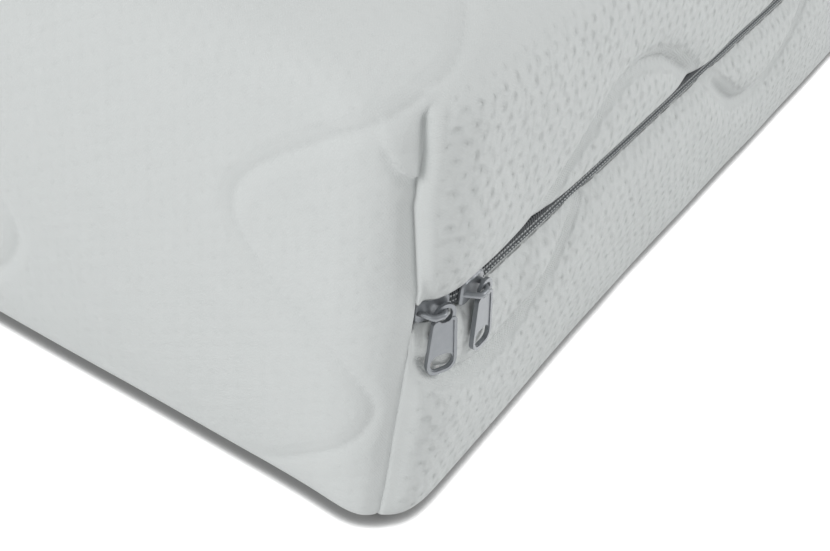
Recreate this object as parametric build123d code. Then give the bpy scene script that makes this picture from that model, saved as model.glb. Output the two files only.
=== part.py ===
"""Memory foam mattress with a quilted, zipped cover.

Frame: X is the width, Y the length (the foot end with the two parked sliders is at -Y),
Z is up, and the origin is the middle of the underside. All sizes are in millimetres.
"""

from build123d import *
import math
import os

# ---- driving dimensions ---------------------------------------------------------------
WIDTH = 900.0
LENGTH = 2000.0
THICKNESS = 160.0

COMFORT_LAYER = 40.0        # thickness of the memory foam on top of the core
ZIP_HEIGHT = 82.5           # centre line of the zip above the underside
SLOT_HALF = 5.4             # half the opening between the two cover edges

FOOT_CORNER_RUN = 26.0      # how far from the foot corner each side starts to turn in
FOOT_CORNER_INSET = 8.0     # how far the corner seam lies inside both sides
FOOT_CORNER_RADIUS = 14.0   # easing where the side turns in towards the corner seam
HEAD_CORNER_RADIUS = 30.0   # rounded corners at the head end, which the zip goes round

TOP_RUN = 28.0              # the top edge rounding: its run inwards from the side
TOP_DROP = 25.0             # ... and how far down the side it starts
BOTTOM_RUN = 16.0           # the same for the bottom edge
BOTTOM_RISE = 11.0
CREST_PLAY = 0.7            # how far the plan outline clears the fullest part of the sides
CROWN = 3.5                 # how far each side stands proud halfway up
EDGE_BULGE = 0.27           # fullness of the rounded edges, as a share of their smaller run
VALLEY_DEPTH = 5.0          # how far the cover dips towards the zip
VALLEY_ABOVE = 20.0         # ... over what height above it
VALLEY_BELOW = 44.0         # ... and below it, where the pulls hang in the dip
TUCK_UNDER = 20.0           # how far the foot panel wraps under the mattress
BEYOND = 5.0                # how far a cutting shape reaches past the mattress

TICKING = 0.8               # knitted outer fabric
WADDING = 2.3               # polyester fibre under it
BACKING = 0.4               # non-woven backing of the quilt
PLY_GAP = 0.1               # play between two plies
SEAM_GAP = 0.3              # play where two cover pieces are sewn edge to edge

# Depths below the side plane of the mattress, measured inwards.
HEM_INNER = 7.3             # how deep the ticking is turned in along the slot
COIL_OUTER = 5.1
TAPE_OUTER = 7.4
TAPE_INNER = 8.0
SLIDER_OUTER = 3.6          # face of the slider's top plate
SLIDER_PLATE = 1.2
SLIDER_BOTTOM = 8.3         # face of the slider's bottom plate towards the tape
FOAM_CHANNEL = 10.2         # how far the foam stands back behind the slider
CHANNEL_MARGIN = 1.0        # how far that channel reaches past each tape ...
CHANNEL_REACH = 6.0         # ... and past the corner seam, behind slider A

TAPE_CLEAR = 0.8            # from the centre line to the edge of each tape
TAPE_WIDTH = 12.5
COIL_CLEAR = 0.7
COIL_WIDTH = 2.3

SLIDER_LENGTH = 12.0
SLIDER_WIDTH = 8.6
SLIDER_WAIST = 7.8          # width of the plates at the tail
SLIDER_CORNER = 2.4         # rounding of the plates, seen from outside
SLIDER_EDGE = 0.6           # bevel of their outer rim
FLANGE = 0.8                # side flanges that hug the coils
FLANGE_SHORT = 3.6          # how much shorter they are than the plates ...
FLANGE_BACK = 0.6           # ... and how far they sit towards the tail
FLANGE_CLEAR = 0.3          # between them and the tapes
POST_LENGTH = 3.2           # the wedge that joins both plates at the nose
POST_WIDTH = 0.9
POST_BACK = 0.5             # how far it ends behind the nose
ROOT = 0.2                  # how far one feature of a casting reaches into the next
A_FROM_SEAM = 9.7           # slider A's middle, along the zip from the corner seam
B_FROM_CORNER = 33.8        # slider B's middle, along the side from the foot end

BAIL_WIRE = 1.8
BAIL_FOOT = 4.6             # half the bail's length at the plate
BAIL_FLAT = 1.8             # half of its straight top
BAIL_RISE = 3.85            # from the plate to the middle of that top
BAIL_BEND = 1.6

PULL_SEAT = 0.38            # how far down the bail's leg the pull hangs, as a share of its length
PULL_LENGTH = 24.0
PULL_WIDTH = 10.0
PULL_NECK = 7.8
PULL_END = 3.6              # rounding of the lower end
PULL_SHOULDER = 1.4         # rounding of the upper end
PULL_THICKNESS = 1.5
PULL_WEB = 0.9              # thickness of the recessed panel
PULL_RIM = 1.0
FINGER_HOLE = (7.6, 5.2)    # across and along the pull
FINGER_HOLE_WALL = 1.3      # below that hole
EYE_WIDTH = 7.0
EYE_HOLE = (4.6, 5.0)       # across and along the pull
EYE_ABOVE = 2.35            # how far the eye reaches above the bail wire's middle
EYE_THICKNESS = 1.1
EYE_LAP = 2.4               # how far the tab reaches up beside the eye's ring
PULL_LEAN = 3.0             # degrees outwards at rest, just clear of the fabric behind each pull


# ---- outlines -------------------------------------------------------------------------
def plan_outline(depth):
    """The mattress seen from above, all its sides moved inwards by depth."""
    half_w = WIDTH / 2
    half_l = LENGTH / 2
    right = [
        (half_w - FOOT_CORNER_RUN, -half_l),
        (half_w - FOOT_CORNER_INSET, -half_l + FOOT_CORNER_INSET),
        (half_w, -half_l + FOOT_CORNER_RUN),
        (half_w, half_l),
    ]
    left = [(-x, y) for x, y in reversed(right)]
    outline = make_face(Polyline(*right, *left, close=True))
    foot_bends = [v for v in outline.vertices() if v.Y == -half_l or v.Y == -half_l + FOOT_CORNER_RUN]
    outline = fillet(foot_bends, FOOT_CORNER_RADIUS)
    head_corners = [v for v in outline.vertices() if v.Y == half_l]
    outline = fillet(head_corners, HEAD_CORNER_RADIUS)
    if depth:
        outline = offset(outline, amount=-depth, kind=Kind.INTERSECTION)
    return outline


def rounded(start, end):
    """One rounded edge of a cross-section, from start to end, bulging outwards."""
    smaller = min(abs(end[0] - start[0]), abs(end[1] - start[1]))
    return SagittaArc(start, end, -EDGE_BULGE * smaller)


def side_edges(half, depth):
    """The edges of one side of a cross-section, from the underside up, moved inwards by depth."""
    shoulder = half - CROWN
    lowest = (shoulder - depth, BOTTOM_RISE)
    highest = (shoulder - depth, THICKNESS - TOP_DROP)
    crest = (half - depth, (lowest[1] + highest[1]) / 2)
    return [
        rounded((shoulder - BOTTOM_RUN, depth), lowest),
        ThreePointArc(lowest, crest, highest),
        rounded(highest, (shoulder - TOP_RUN, THICKNESS - depth)),
    ]


def cross_section(half, depth):
    """A closed face across the mattress, half its width or length to each side of the middle."""
    right = side_edges(half, depth)
    left = [mirror(edge, Plane.YZ) for edge in right]
    underside = Line(right[0] @ 0, left[0] @ 0)
    top = Line(right[-1] @ 1, left[-1] @ 1)
    return make_face([*right, *left, underside, top])


def foot_panel_space(gap):
    """The space of the foot panel: between the two corner seams, and a little way under."""
    far = WIDTH / 2 + BEYOND + gap * math.sqrt(2)
    near = WIDTH / 2 - TUCK_UNDER + gap * (math.sqrt(2) - 1)
    outer_y = -LENGTH / 2 - BEYOND
    inner_y = -LENGTH / 2 + TUCK_UNDER + gap
    points = [(far, outer_y), (near, inner_y), (-near, inner_y), (-far, outer_y)]
    return extrude(make_face(Polyline(*points, close=True)), THICKNESS)


def valley_envelope(depth):
    """The space left beside a shallow valley that runs along the zip."""
    outline = plan_outline(depth - CREST_PLAY)
    low = ZIP_HEIGHT - VALLEY_BELOW
    high = ZIP_HEIGHT + VALLEY_ABOVE
    steep = math.degrees(math.atan2(VALLEY_DEPTH, VALLEY_ABOVE))
    gentle = math.degrees(math.atan2(VALLEY_DEPTH, VALLEY_BELOW))
    below = extrude(outline, low)
    into = Pos(0, 0, low) * extrude(outline, VALLEY_BELOW, taper=gentle)
    out_of = Pos(0, 0, high) * mirror(extrude(outline, VALLEY_ABOVE, taper=steep), Plane.XY)
    above = Pos(0, 0, high) * extrude(outline, THICKNESS - high)
    return below + into + out_of + above


def block(depth):
    """The whole mattress as one rounded block, its surface moved inwards by depth."""
    rounded_edges = extrude(Plane.XZ * cross_section(WIDTH / 2, depth), LENGTH / 2 + BEYOND, both=True)
    rounded_edges &= extrude(Plane.YZ * cross_section(LENGTH / 2, depth), WIDTH / 2 + BEYOND, both=True)
    foot_panel = extrude(plan_outline(depth - CREST_PLAY), THICKNESS) & foot_panel_space(0)
    return rounded_edges & (valley_envelope(depth) + foot_panel)


def slab(low, high):
    """All of the mattress between two heights."""
    return Pos(0, 0, (low + high) / 2) * Box(WIDTH + 2 * BEYOND, LENGTH + 2 * BEYOND, high - low)


def zip_band(outer, inner, low, high, reach=0):
    """A strip that follows the zip along both sides and the head end, reach past the corner seams."""
    ring = extrude(plan_outline(outer) - plan_outline(inner), high - low)
    return Pos(0, 0, low) * ring - foot_panel_space(-reach)


# ---- the quilted cover ----------------------------------------------------------------
def upper_part(shell, edge):
    """Top panel, upper side bands and the full-height foot panel."""
    return shell & (slab(edge, THICKNESS) + foot_panel_space(0))


def lower_part(shell, edge):
    """Underside and lower side bands."""
    return (shell & slab(0, edge)) - foot_panel_space(SEAM_GAP)


def cover_plies():
    """The three plies of each cover half; the ticking is turned in along the zip."""
    ticking_in = TICKING
    wadding_out = ticking_in + PLY_GAP
    wadding_in = wadding_out + WADDING
    backing_out = wadding_in + PLY_GAP
    backing_in = backing_out + BACKING
    whole = block(0)
    ticking = whole - block(ticking_in)
    wadding = block(wadding_out) - block(wadding_in)
    backing = block(backing_out) - block(backing_in)

    upper_edge = ZIP_HEIGHT + SLOT_HALF
    lower_edge = ZIP_HEIGHT - SLOT_HALF
    upper_hem = zip_band(0, HEM_INNER, upper_edge, upper_edge + TICKING) & whole
    lower_hem = zip_band(0, HEM_INNER, lower_edge - TICKING, lower_edge) & whole
    upper_quilt = upper_edge + TICKING + PLY_GAP
    lower_quilt = lower_edge - TICKING - PLY_GAP
    return {
        "upper_cover_ticking": upper_part(ticking, upper_edge) + upper_hem,
        "upper_cover_wadding": upper_part(wadding, upper_quilt),
        "upper_cover_backing": upper_part(backing, upper_quilt),
        "lower_cover_ticking": lower_part(ticking, lower_edge) + (lower_hem - foot_panel_space(SEAM_GAP)),
        "lower_cover_wadding": lower_part(wadding, lower_quilt),
        "lower_cover_backing": lower_part(backing, lower_quilt),
    }


# ---- the foam -------------------------------------------------------------------------
def foam_layers():
    """Memory foam on a support core, which stands back a little behind the zip."""
    depth = TICKING + WADDING + BACKING + 3 * PLY_GAP
    foam = block(depth)
    split = THICKNESS - depth - COMFORT_LAYER
    half_channel = TAPE_CLEAR + TAPE_WIDTH + CHANNEL_MARGIN
    low = ZIP_HEIGHT - half_channel
    high = ZIP_HEIGHT + half_channel
    channel = zip_band(0, FOAM_CHANNEL, low, high, CHANNEL_REACH)
    return {
        "memory_foam_layer": foam & slab(split, THICKNESS),
        "support_foam_core": (foam & slab(0, split - PLY_GAP)) - channel,
    }


# ---- the zip --------------------------------------------------------------------------
def zip_strips():
    """Two woven tapes and the nylon coil sewn on each."""
    strips = {}
    for name, side in (("upper", 1), ("lower", -1)):
        tape = sorted((ZIP_HEIGHT + side * TAPE_CLEAR, ZIP_HEIGHT + side * (TAPE_CLEAR + TAPE_WIDTH)))
        coil = sorted((ZIP_HEIGHT + side * COIL_CLEAR, ZIP_HEIGHT + side * (COIL_CLEAR + COIL_WIDTH)))
        strips[f"zip_tape_{name}"] = zip_band(TAPE_OUTER, TAPE_INNER, *tape)
        strips[f"zip_coil_{name}"] = zip_band(COIL_OUTER, TAPE_OUTER - PLY_GAP / 2, *coil)
    return strips


def top_plate():
    """The outer plate of the slider, wider at the nose (+X), with a bevelled rim."""
    half = SLIDER_LENGTH / 2
    nose = SLIDER_WIDTH / 2
    tail = SLIDER_WAIST / 2
    outline = make_face(Polyline(
        (-half, -tail), (0, -tail), (half / 3, -nose), (half, -nose),
        (half, nose), (half / 3, nose), (0, tail), (-half, tail), close=True,
    ))
    outline = fillet([v for v in outline.vertices() if abs(v.X) == half], SLIDER_CORNER)
    plate = extrude(Pos(0, 0, -SLIDER_OUTER - SLIDER_PLATE) * outline, SLIDER_PLATE)
    outer_rim = plate.edges().group_by(Axis.Z)[-1]
    return chamfer(outer_rim, SLIDER_EDGE)


def bail_leg():
    """Top and root of the bail leg that carries the pull, in the slider's own axes."""
    crest = -SLIDER_OUTER + BAIL_RISE
    root = -SLIDER_OUTER - SLIDER_PLATE / 2
    return Vector(BAIL_FLAT, 0, crest), Vector(BAIL_FOOT, 0, root)


def bail_path():
    """The bail's centre line: two sloping legs and a short straight top."""
    top, root = bail_leg()
    points = [(-root.X, 0, root.Z), (-top.X, 0, top.Z), (top.X, 0, top.Z), (root.X, 0, root.Z)]
    return FilletPolyline(*points, radius=BAIL_BEND)


def slider():
    """A cast slider: two plates, the wedge that joins them, side flanges and the bail."""
    halfway = (SLIDER_OUTER + SLIDER_BOTTOM + SLIDER_PLATE) / 2
    top = top_plate()
    bottom = mirror(top, Plane.XY.offset(-halfway))
    gap = SLIDER_BOTTOM - SLIDER_OUTER - SLIDER_PLATE
    middle = (SLIDER_LENGTH - POST_LENGTH) / 2 - POST_BACK
    wedge = make_face(Polyline(
        (middle - POST_LENGTH / 2, 0), (middle, -POST_WIDTH / 2),
        (middle + POST_LENGTH / 2, 0), (middle, POST_WIDTH / 2), close=True,
    ))
    post = extrude(Pos(0, 0, -SLIDER_BOTTOM - ROOT) * wedge, gap + 2 * ROOT)
    flange_low = -TAPE_OUTER + FLANGE_CLEAR
    flange_high = -SLIDER_OUTER - SLIDER_PLATE + ROOT
    flange_size = (SLIDER_LENGTH - FLANGE_SHORT, FLANGE, flange_high - flange_low)
    flange_y = (SLIDER_WAIST - FLANGE) / 2
    flange_z = (flange_low + flange_high) / 2
    flanges = [Pos(-FLANGE_BACK, side * flange_y, flange_z) * Box(*flange_size) for side in (-1, 1)]
    path = bail_path()
    wire = sweep(Plane(path @ 0, z_dir=path % 0) * Circle(BAIL_WIRE / 2), path=path)
    return top + bottom + post + flanges + wire


def pull_pivot():
    """Where the pull's eye hangs on the bail's leg."""
    top, root = bail_leg()
    return top + (root - top) * PULL_SEAT


def pull_axis():
    """The direction of the bail's sloping leg, about which the pull swings."""
    top, root = bail_leg()
    return (top - root).normalized()


def pull_tab():
    """The pull: an eye, a tapering tab with a raised rim and recessed panel, and a hole at its end."""
    hole_across, hole_along = EYE_HOLE
    eye_height = hole_along + EYE_WIDTH - hole_across
    eye_middle = EYE_ABOVE - eye_height / 2
    shoulder = EYE_ABOVE - eye_height + EYE_LAP
    end = EYE_ABOVE - PULL_LENGTH
    half = PULL_WIDTH / 2
    neck = PULL_NECK / 2

    tab_outline = make_face(Polyline(
        (-neck, shoulder), (neck, shoulder), (half, end + half), (half, end),
        (-half, end), (-half, end + half), close=True,
    ))
    corners = tab_outline.vertices().sort_by(Axis.Y)
    tab_outline = fillet(corners[:2], PULL_END)
    tab_outline = fillet(tab_outline.vertices().sort_by(Axis.Y)[-2:], PULL_SHOULDER)
    panel = offset(tab_outline, amount=-PULL_RIM, kind=Kind.INTERSECTION)
    finger_hole = Pos(0, end + FINGER_HOLE_WALL + FINGER_HOLE[1] / 2) * SlotOverall(*FINGER_HOLE)
    eye_outline = Pos(0, eye_middle) * SlotOverall(eye_height, EYE_WIDTH, rotation=90)
    eye_hole = Pos(0, eye_middle) * SlotOverall(hole_along, hole_across, rotation=90)

    tab = extrude(tab_outline, PULL_THICKNESS / 2, both=True)
    recess = extrude(panel, PULL_THICKNESS, both=True) - extrude(panel, PULL_WEB / 2, both=True)
    eye = extrude(eye_outline, EYE_THICKNESS / 2, both=True)
    holes = extrude(finger_hole, PULL_THICKNESS, both=True) + extrude(eye_hole, PULL_THICKNESS, both=True)
    return tab - recess + eye - holes


def slider_a_plane():
    """Slider A's seat, in the turned-in stretch beside the corner seam."""
    seam = Vector(WIDTH / 2 - FOOT_CORNER_INSET, -LENGTH / 2 + FOOT_CORNER_INSET, ZIP_HEIGHT)
    bend = Vector(WIDTH / 2, -LENGTH / 2 + FOOT_CORNER_RUN, ZIP_HEIGHT)
    along = (bend - seam).normalized()
    return Plane(seam + along * A_FROM_SEAM, x_dir=along, z_dir=along.cross(Vector(0, 0, 1)))


def slider_b_plane():
    """Slider B's seat, on the straight side just past the corner."""
    seat = Vector(WIDTH / 2, -LENGTH / 2 + B_FROM_CORNER, ZIP_HEIGHT)
    return Plane(seat, x_dir=(0, 1, 0), z_dir=(1, 0, 0))


def sliders_and_pulls():
    """Two sliders nose to nose, each with its pull hanging on the leg of the bail towards the head end."""
    nose_to_head = slider()
    nose_to_foot = Rot(Z=180) * nose_to_head
    hung_pull = Pos(*pull_pivot()) * Rot(X=-PULL_LEAN) * pull_tab()
    return {
        "slider_a": slider_a_plane() * nose_to_head,
        "pull_a": slider_a_plane() * hung_pull,
        "slider_b": slider_b_plane() * nose_to_foot,
        "pull_b": slider_b_plane() * hung_pull,
    }


def joint_lines():
    """Axis and origin of each joint, in metres, in the mattress frame."""
    rows = []
    for name, plane in (("a", slider_a_plane()), ("b", slider_b_plane())):
        pivot = plane.from_local_coords(pull_pivot())
        axis = plane.from_local_coords(pull_pivot() + pull_axis()) - pivot
        rows.append((f"slider_{name}", plane.origin, plane.x_dir))
        rows.append((f"pull_{name}", pivot, axis))
    return rows


if __name__ == "__main__":
    os.makedirs("parts", exist_ok=True)
    nodes = {**cover_plies(), **foam_layers(), **zip_strips(), **sliders_and_pulls()}
    for name, shape in nodes.items():
        export_step(shape, f"parts/{name}.step")
    for name, origin, axis in joint_lines():
        print(name, [round(v / 1000, 6) for v in origin], [round(v, 6) for v in axis])
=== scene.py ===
"""Looks of a memory foam mattress in a quilted knit cover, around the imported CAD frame.

All shapes are worked out in millimetres and turned into metres when a mesh is made. The cover is
drawn on a "flat box": the mattress with its rounded edges folded out, so that distances on the box
are distances on the fabric. block_point() bends that box to the real rounded form.
"""
import math

import bmesh
import bpy
import numpy as np
from mathutils import Matrix, Vector, kdtree


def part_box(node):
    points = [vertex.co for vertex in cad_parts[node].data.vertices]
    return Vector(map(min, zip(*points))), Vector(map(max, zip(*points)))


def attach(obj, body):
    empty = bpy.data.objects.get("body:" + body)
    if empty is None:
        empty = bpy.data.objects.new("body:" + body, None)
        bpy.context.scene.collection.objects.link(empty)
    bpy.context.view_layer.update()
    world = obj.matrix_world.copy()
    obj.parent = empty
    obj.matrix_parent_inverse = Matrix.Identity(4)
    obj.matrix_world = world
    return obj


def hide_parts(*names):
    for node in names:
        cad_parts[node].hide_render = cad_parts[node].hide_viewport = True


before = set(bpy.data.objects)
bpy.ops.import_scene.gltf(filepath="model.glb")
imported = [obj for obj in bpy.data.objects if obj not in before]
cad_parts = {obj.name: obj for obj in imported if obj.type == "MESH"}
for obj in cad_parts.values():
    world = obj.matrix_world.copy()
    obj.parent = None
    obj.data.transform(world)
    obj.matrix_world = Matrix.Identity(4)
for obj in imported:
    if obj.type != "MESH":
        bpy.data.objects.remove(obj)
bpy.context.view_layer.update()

MM = 0.001

# ---- sizes taken from the frame ----
cover_low, cover_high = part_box("upper_cover_ticking")
HALF_W = 5 * round(cover_high.x / MM / 5)       # nominal size; the fabric stays just inside it
HALF_L = 5 * round(cover_high.y / MM / 5)
THICK = round(cover_high.z / MM)
ZIP_Z = (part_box("zip_coil_upper")[0].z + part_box("zip_coil_lower")[1].z) / 2 / MM

# ---- form of the block ----
RUN = 28.0              # plan radius of the corners, and how far the top edge turns in
TOP_DROP = 25.0         # how far down the side the top edge starts
BOTTOM_RISE = 12.0
CROWN = 3.5             # how much fuller the sides are halfway up than at their edges
ROUND_POWER = 2.0       # a round edge; higher powers are squarer
FLOOR_POWER = 2.9       # where the weight of the foam presses the edges square ...
SQUARE_BELOW = 45.0     # ... from this height down
FLARE_HEIGHT = 30.0     # the foot corners spread over the floor, below this height:
SIDE_SLIM = 3.4         # how much the long sides draw in down there ...
SIDE_FLARE = 4.4        # ... less this much at the corner
SIDE_REACH = 106.0      # ... fading along the side
FOOT_FLARE = 3.0        # and this far towards the foot
FOOT_REACH = 23.0
EDGE_ARC = 21.5         # half of a rounded edge, measured on the fabric
BOTTOM_ARC = 16.0
CORE_X = HALF_W - RUN
CORE_Y = HALF_L - RUN
SIDE_TOP = THICK - TOP_DROP
FLAT_X = CORE_X + EDGE_ARC      # half sizes of the flat box
FLAT_Y = CORE_Y + EDGE_ARC
FLAT_TOP = SIDE_TOP + EDGE_ARC
FLAT_LOW = BOTTOM_RISE - BOTTOM_ARC

# ---- cover ----
UPPER_LIP = ZIP_Z + 5.3     # edges of the slot that the zip shows in
LOWER_LIP = ZIP_Z - 4.6
UPPER_LIP_DEPTH = 2.9       # how far they lie behind the side
LOWER_LIP_DEPTH = 5.8
UPPER_LIP_FADE = 7.0        # height over which the cover comes out again above the zip
LOWER_LIP_FADE = 6.0
HEM_TURN = (                # the edge turned in behind a lip: inwards, and up
    (0.35, -0.45), (1.1, -0.75), (2.2, -0.7), (3.6, -0.4), (5.0, 0.0),
)
POCKET_DEPTH = 2.0          # the cover stands back under the pulls, down to the quilting line ...
POCKET_END = 66.0           # ... up to this far from the foot end
HEAD_POCKET_DEPTH = 2.8     # and again where slider_b ends its travel ...
HEAD_POCKET = (8.0, 66.0)   # ... between these distances from the head end ...
HEAD_POCKET_HEIGHT = 42.0   # ... and this far down from the zip
POCKET_FADE = 14.0

QUILT_SPACING = 136.0   # between the wavy quilting lines
QUILT_SWING = 26.0
QUILT_FIRST = 37.0      # from the right-hand edge to the middle of the first line
QUILT_REPEAT = 279.0    # two short waves and a long one, along the line
QUILT_TURNS = (49.0, 101.0, 160.0, 262.0)
QUILT_LEVELS = (0.9, -1.0, 1.12, -1.0, 0.9)     # how far it swings out at each turn
BAND_WAVE = 203.0       # wavelength of the lines that run along the side bands
UPPER_BAND = (91.7, 22.8, 116.0)    # height, swing, and where the first crest is
LOWER_BAND = (77.4, 27.4, 143.5)
UNDERSIDE_START = 40.0  # the underside's lines start this far from the foot end
LINE_STEP = 1.0         # between the points of a line

GRID = 8.0              # mesh spacing, halved up to this many times where it matters
HALVINGS = 4
ON_LINE = 0.01          # points this near a line or face of the flat box count as on it
TINY = 1e-9             # keeps a length of zero from being divided by


def smooth(t):
    t = np.clip(t, 0, 1)
    return t * t * (3 - 2 * t)


def bump(x, width):
    return np.exp(-(x / width) ** 2)


# ---- the rounded block ----
def round_edge(past_core, arc):
    """Slope of a rounded edge, from 0 where it starts to 1 halfway round it."""
    return np.tan(math.pi / 4 * np.clip(past_core / arc, 0, 1))


def plan_way(flat):
    """How far points are turned towards x and y by the rounded corners."""
    return [
        np.sign(flat[:, 0]) * round_edge(np.abs(flat[:, 0]) - CORE_X, EDGE_ARC),
        np.sign(flat[:, 1]) * round_edge(np.abs(flat[:, 1]) - CORE_Y, EDGE_ARC),
    ]


def block_point(flat, depth=0.0):
    """Points of the flat box, bent to the rounded block; depth moves them below its surface."""
    upwards = round_edge(flat[:, 2] - SIDE_TOP, EDGE_ARC)
    downwards = round_edge(BOTTOM_RISE - flat[:, 2], BOTTOM_ARC)
    way = np.stack([*plan_way(flat), upwards - downwards], axis=1)
    pressed = smooth((SQUARE_BELOW - flat[:, 2]) / SQUARE_BELOW)
    power = (ROUND_POWER + (FLOOR_POWER - ROUND_POWER) * pressed)[:, None]
    way /= np.maximum((np.abs(way) ** power).sum(axis=1, keepdims=True), TINY) ** (1 / power)
    core = np.stack([
        np.clip(flat[:, 0], -CORE_X, CORE_X),
        np.clip(flat[:, 1], -CORE_Y, CORE_Y),
        np.clip(flat[:, 2], BOTTOM_RISE, SIDE_TOP),
    ], axis=1)
    radius_z = np.where(flat[:, 2] < BOTTOM_RISE, BOTTOM_RISE, TOP_DROP) - depth
    point = core + way * np.stack([np.full(len(flat), RUN - depth)] * 2 + [radius_z], axis=1)
    middle = (SIDE_TOP + BOTTOM_RISE) / 2
    reach = (SIDE_TOP - BOTTOM_RISE) / 2
    slim = CROWN * np.clip(((point[:, 2] - middle) / reach) ** 2, 0, 1)
    low = smooth((FLARE_HEIGHT - point[:, 2]) / FLARE_HEIGHT)
    side_flare = low * (SIDE_FLARE * bump(HALF_L + point[:, 1], SIDE_REACH) - SIDE_SLIM)
    foot_flare = FOOT_FLARE * low * bump(HALF_W - np.abs(point[:, 0]), FOOT_REACH)
    point[:, 0] -= (slim - side_flare) * core[:, 0] / CORE_X
    point[:, 1] -= (slim - foot_flare) * core[:, 1] / CORE_Y
    return point


def plan_normal(flat):
    """Outward direction in plan, as a unit vector, of points on the sides of the flat box."""
    way = np.stack(plan_way(flat), axis=1)
    return way / np.maximum(np.linalg.norm(way, axis=1, keepdims=True), TINY)


# ---- feature lines ----
class Lines:
    """Curves on the block's surface, for asking how far a point is from the nearest one."""

    def __init__(self, curves):
        curves = [block_point(np.array(c)) for c in curves]
        lengths = []
        for curve in curves:
            gaps = np.linalg.norm(np.diff(curve, axis=0), axis=1)
            lengths.append(np.concatenate([[0], np.cumsum(gaps)]))
        self.along = np.concatenate(lengths)
        self.tree = kdtree.KDTree(len(self.along))
        for i, point in enumerate(np.concatenate(curves)):
            self.tree.insert(point, i)
        self.tree.balance()

    def near(self, points):
        """Distance to the nearest line and the place along it, for each point."""
        found = [self.tree.find(p) for p in points]
        distance = np.array([f[2] for f in found])
        along = self.along[[f[1] for f in found]]
        return distance, along


def wave_across(s):
    """Sideways swing, about -1 to 1, of a quilting line at fabric length s."""
    turns = (*QUILT_TURNS, QUILT_TURNS[0] + QUILT_REPEAT)
    place = (s - turns[0]) % QUILT_REPEAT + turns[0]
    half_waves = np.interp(place, turns, range(len(turns)))
    turn = np.minimum(half_waves.astype(int), len(turns) - 2)
    share = (1 - np.cos(math.pi * (half_waves - turn))) / 2
    levels = np.array(QUILT_LEVELS)
    return levels[turn] + (levels[turn + 1] - levels[turn]) * share


def on_front_or_top(x, s):
    """Flat-box point at x and fabric length s, up the foot panel, over the top and down the back."""
    head_edge = FLAT_TOP + 2 * FLAT_Y
    y = np.clip(s - FLAT_TOP - FLAT_Y, -FLAT_Y, FLAT_Y)
    z = np.minimum(FLAT_TOP, np.minimum(s, FLAT_TOP - (s - head_edge)))
    return np.stack([x, y, z], axis=1)


def quilt_middles():
    """Middles across the mattress of the quilting lines that run along it."""
    return np.arange(HALF_W - QUILT_FIRST, -HALF_W + QUILT_FIRST / 2, -QUILT_SPACING)


def top_fabric_lines():
    """Quilting lines of the fabric that covers the foot panel, the top and the head end."""
    end = FLAT_TOP + 2 * FLAT_Y + (FLAT_TOP - UPPER_LIP)
    s = np.arange(BOTTOM_RISE / 2, end, LINE_STEP)
    return [on_front_or_top(x + QUILT_SWING * wave_across(s), s) for x in quilt_middles()]


def band_height(y, band):
    """Height of the quilting line of a side band, at distance y from the foot end."""
    height, swing, crest = band
    return height + swing * np.cos(2 * math.pi * (y - crest) / BAND_WAVE)


def side_band_lines(band, low, high):
    """The same line along both long sides, cut where it leaves its band of the cover."""
    lines = []
    y = np.arange(0.0, 2 * FLAT_Y, LINE_STEP)
    z = band_height(y, band)
    inside = (z > low) & (z < high)
    cuts = np.flatnonzero(np.diff(inside.astype(int)) != 0) + 1
    for run in np.split(np.arange(len(y)), cuts):
        if inside[run[0]] and len(run) > 3:
            for side in (1, -1):
                x = np.full(len(run), side * FLAT_X)
                lines.append(np.stack([x, y[run] - FLAT_Y, z[run]], axis=1))
    return lines


def underside_lines():
    """Quilting lines of the underside and of the lower band at the head end."""
    s = np.arange(UNDERSIDE_START, 2 * FLAT_Y + LOWER_LIP - FLAT_LOW, LINE_STEP)
    swing = QUILT_SWING * wave_across(s)
    y = np.clip(s - FLAT_Y, -FLAT_Y, FLAT_Y)
    z = np.where(s > 2 * FLAT_Y, FLAT_LOW + s - 2 * FLAT_Y, FLAT_LOW)
    return [np.stack([x + swing, y, z], axis=1) for x in quilt_middles()]


def foot_seams():
    """The corner seams at both ends of the foot panel."""
    z = np.arange(FLAT_LOW, FLAT_TOP, LINE_STEP / 2)
    column = np.ones_like(z)
    return [np.stack([side * FLAT_X * column, -FLAT_Y * column, z], axis=1) for side in (1, -1)]


quilt_upper = Lines(top_fabric_lines() + side_band_lines(UPPER_BAND, UPPER_LIP, SIDE_TOP))
quilt_lower = Lines(underside_lines() + side_band_lines(LOWER_BAND, BOTTOM_RISE, LOWER_LIP))
seams = Lines(foot_seams())


# ---- flat-box meshes ----
def steps(*marks, size=GRID):
    """Places from mark to mark, no further apart than size, with every mark among them."""
    places = [marks[0]]
    for low, high in zip(marks, marks[1:]):
        places += list(np.linspace(low, high, max(1, math.ceil((high - low) / size)) + 1))[1:]
    return places


def grid_lines(core, flat, edge_size=GRID, core_size=GRID):
    """Places of the mesh's lines from side to side, closer over the rounded edges if asked."""
    edge = steps(core, flat, size=edge_size)
    return [-v for v in edge[::-1]] + steps(-core, core, size=core_size)[1:] + edge[1:]


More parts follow.
